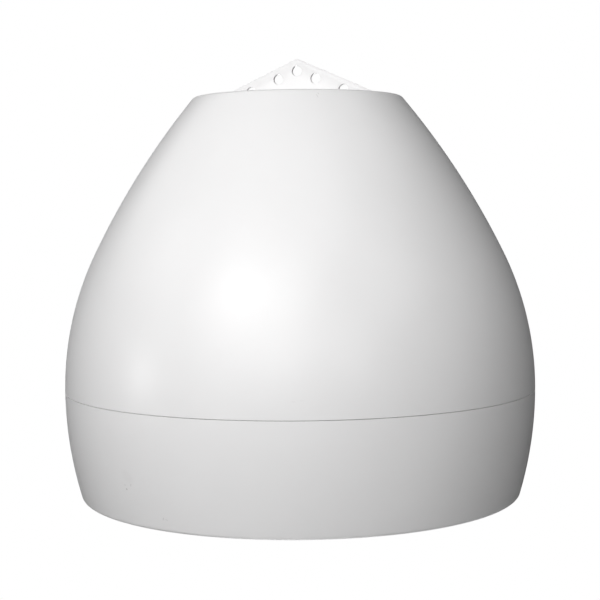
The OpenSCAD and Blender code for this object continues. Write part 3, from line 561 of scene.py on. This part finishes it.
# Bell: one moulding, spun from its outline, with the well in its top
shoulder_z = TOP_Z - SHOULDER_F
SHOULDER_C = (arc_x(FLANK_C, FLANK_ARC - SHOULDER_F, shoulder_z), shoulder_z)
shoulder_a = math.atan2(SHOULDER_C[1] - FLANK_C[1], SHOULDER_C[0] - FLANK_C[0])
WELL_R = SHOULDER_C[0] - RIM_W
lip = 0.00015
bell_low = SEAM_Z + SEAM_GAP / 2
tongue_r = arc_x(SKIRT_C, SKIRT_ARC - WALL, SEAM_Z - TONGUE_H) - 0.0003
bell_section = (
    [(BELLY_R - lip, bell_low), (BELLY_R - 0.3 * lip, bell_low + 0.3 * lip),
     (arc_x(BELLY_C, BELLY_ARC, bell_low + lip), bell_low + lip)]
    + arc(BELLY_C, BELLY_ARC, height_angle(BELLY_C, BELLY_ARC, bell_low + 2 * lip), TURN, 28)
    + arc(FLANK_C, FLANK_ARC, TURN, shoulder_a, 28)[1:]
    + arc(SHOULDER_C, SHOULDER_F, shoulder_a, math.pi / 2, 12)[1:]
    + [(WELL_R + 0.0045, TOP_Z)]
    + [(WELL_R + 0.0008 - 0.0008 * math.sin(t), TOP_Z - 0.0008 + 0.0008 * math.cos(t))
       for t in (0, math.pi / 8, math.pi / 4, 3 * math.pi / 8, math.pi / 2)]
    + [(WELL_R, WELL_Z + 0.0008), (WELL_R - 0.0003, WELL_Z + 0.0002), (WELL_R - 0.0009, WELL_Z),
       (WELL_R * 0.6, WELL_Z), (0, WELL_Z), (0, UNDER_Z), (WELL_R + WALL, UNDER_Z),
       (WELL_R + WALL, TOP_Z - WALL)]
    + arc(FLANK_C, FLANK_ARC - WALL, height_angle(FLANK_C, FLANK_ARC - WALL, TOP_Z - WALL), TURN, 16)
    + arc(BELLY_C, BELLY_ARC - WALL, TURN, height_angle(BELLY_C, BELLY_ARC - WALL, SEAM_Z + TONGUE_H + 0.002), 16)[1:]
    + [(tongue_r - TONGUE_T, SEAM_Z + TONGUE_H), (tongue_r - TONGUE_T, SEAM_Z - TONGUE_H),
       (tongue_r, SEAM_Z - TONGUE_H), (tongue_r, bell_low)])
bell = mesh_piece(lathe(bell_section), "bell_moulding", FINISHES["housing"], "bell", slot="housing")
holes = bmesh.new()
slab(holes, TRAY_HOLE_L, TRAY_HOLE_W, 0.003, TRAY_Y, UNDER_Z - 0.002, WELL_Z + 0.002)
for x in (-1, 1):
    for y in (-1, 1):
        post(holes, x * BOLT_X, y * BOLT_Y, 0.0045, UNDER_Z - 0.002, WELL_Z + 0.002, 32)
        post(holes, x * TRAY_SCREW_X, TRAY_Y + y * TRAY_SCREW_Y, 0.00125, UNDER_Z - 0.002, WELL_Z + 0.002, 16)
cut_with(bell, holes)

# Ribs and clamping columns inside the bell
rib_top, rib_low, tongue_mid = UNDER_Z + 0.003, SEAM_Z - TONGUE_H, tongue_r - TONGUE_T / 2
rib_out, rib_in = WALL / 2, WALL + RIB_DEPTH
rib_outline = (
    arc(BELLY_C, BELLY_ARC - rib_out, height_angle(BELLY_C, BELLY_ARC - rib_out, SEAM_Z + 0.0012), TURN, 10)
    + arc(FLANK_C, FLANK_ARC - rib_out, TURN, height_angle(FLANK_C, FLANK_ARC - rib_out, rib_top), 10)[1:]
    + arc(FLANK_C, FLANK_ARC - rib_in, height_angle(FLANK_C, FLANK_ARC - rib_in, rib_top), TURN, 10)
    + arc(BELLY_C, BELLY_ARC - rib_in, TURN, height_angle(BELLY_C, BELLY_ARC - rib_in, COLUMN_TOP), 10)[1:]
    + [(COLUMN_R, COLUMN_TOP), (COLUMN_R, rib_low), (tongue_mid, rib_low), (tongue_mid, SEAM_Z + 0.0012)])
inside = bmesh.new()
for i in range(8):
    turn = math.radians(22.5 + 45 * i)
    radial_slab(inside, rib_outline, RIB_T, turn)
    post(inside, COLUMN_R * math.cos(turn), COLUMN_R * math.sin(turn), 0.008, BAFFLE_TOP, COLUMN_TOP, 40)
add_shells(bell, inside)

# Skirt: one moulding with the rounded bottom rim, the grille's seat and the clamping ledge
BASE_C = (arc_x(SKIRT_C, SKIRT_ARC - BASE_F, BASE_F), BASE_F)
base_a = math.atan2(BASE_C[1] - SKIRT_C[1], BASE_C[0] - SKIRT_C[0])
BORE_R = BASE_C[0] - 0.008
skirt_high = SEAM_Z - SEAM_GAP / 2
inner_skirt = SKIRT_ARC - WALL
ledge_in = arc_x(SKIRT_C, inner_skirt, LEDGE_Z) - LEDGE_W
skirt_section = (
    [(BORE_R, 0.0008), (BORE_R + 0.0002, 0.0002), (BORE_R + 0.0008, 0), (BASE_C[0] - 0.003, 0)]
    + arc(BASE_C, BASE_F, -math.pi / 2, base_a, 12)
    + arc(SKIRT_C, SKIRT_ARC, base_a, height_angle(SKIRT_C, SKIRT_ARC, skirt_high - 2 * lip), 36)[1:]
    + [(arc_x(SKIRT_C, SKIRT_ARC, skirt_high - lip), skirt_high - lip),
       (BELLY_R - 0.3 * lip, skirt_high - 0.3 * lip), (BELLY_R - lip, skirt_high)]
    + arc(SKIRT_C, inner_skirt, height_angle(SKIRT_C, inner_skirt, skirt_high),
          height_angle(SKIRT_C, inner_skirt, LEDGE_Z + LEDGE_T), 12)
    + [(ledge_in, LEDGE_Z + LEDGE_T), (ledge_in, LEDGE_Z)]
    + arc(SKIRT_C, inner_skirt, height_angle(SKIRT_C, inner_skirt, LEDGE_Z),
          height_angle(SKIRT_C, inner_skirt, WALL), 12)
    + [(BORE_R + 0.004, WALL), (BORE_R + 0.004, 0.020), (BORE_R, 0.020)])
skirt = mesh_piece(lathe(skirt_section), "skirt_moulding", FINISHES["housing"], "skirt", slot="housing")

bosses = bmesh.new()
for i in range(6):
    turn = math.radians(60 * i)
    post(bosses, BOSS_R * math.cos(turn), BOSS_R * math.sin(turn), 0.0045, GRILLE_INSET + GRILLE_T, RIM_WALL_H, 32)
    radial_slab(bosses, [(BOSS_R, WEB_Z), (BORE_R + 0.002, WEB_Z), (BORE_R + 0.002, RIM_WALL_H), (BOSS_R, RIM_WALL_H)],
                0.009, turn)
add_shells(skirt, bosses)

seal_in, seal_out = BELLY_R - WALL, BELLY_R - 0.0022
mesh_piece(lathe([(seal_in, skirt_high), (seal_out - 0.0002, skirt_high), (seal_out, SEAM_Z),
                  (seal_out - 0.0002, bell_low), (seal_in, bell_low)]),
           "seam_seal", FINISHES["foam"], "seam_gasket", slot="foam")

DRESSED = [
    ("hanging_plate", "drilled_plate", "plate_paint", 0.0005, 3, 12),
    ("foot_plate", "welded_foot", "plate_paint", 0.0004, 3, 20),
    ("foot_bolts", "hex_bolts", "zinc", 0.0003, 2, 28),
    ("foot_washers", "plain_washers", "zinc", 0.0002, 2, 28),
    ("terminal_tray", "line_tray", "black_plastic", 0.0005, 3, 28),
    ("terminal_block", "line_block", "black_plastic", 0.0003, 2, 28),
    ("terminal_screws", "clamp_terminals", "brass", 0.00015, 2, 28),
    ("tray_screws", "pan_screws", "zinc", 0.0002, 2, 28),
    ("grille", "pressed_grille", "grille_paint", 0.0, 0, 28),
    ("grille_screws", "small_screws", "zinc", 0.0002, 2, 28),
]
for node, name, slot, bevel, segments, sharp in DRESSED:
    dressed(node, FINISHES[slot], name, slot=slot, bevel=bevel, segments=segments, sharp=sharp)
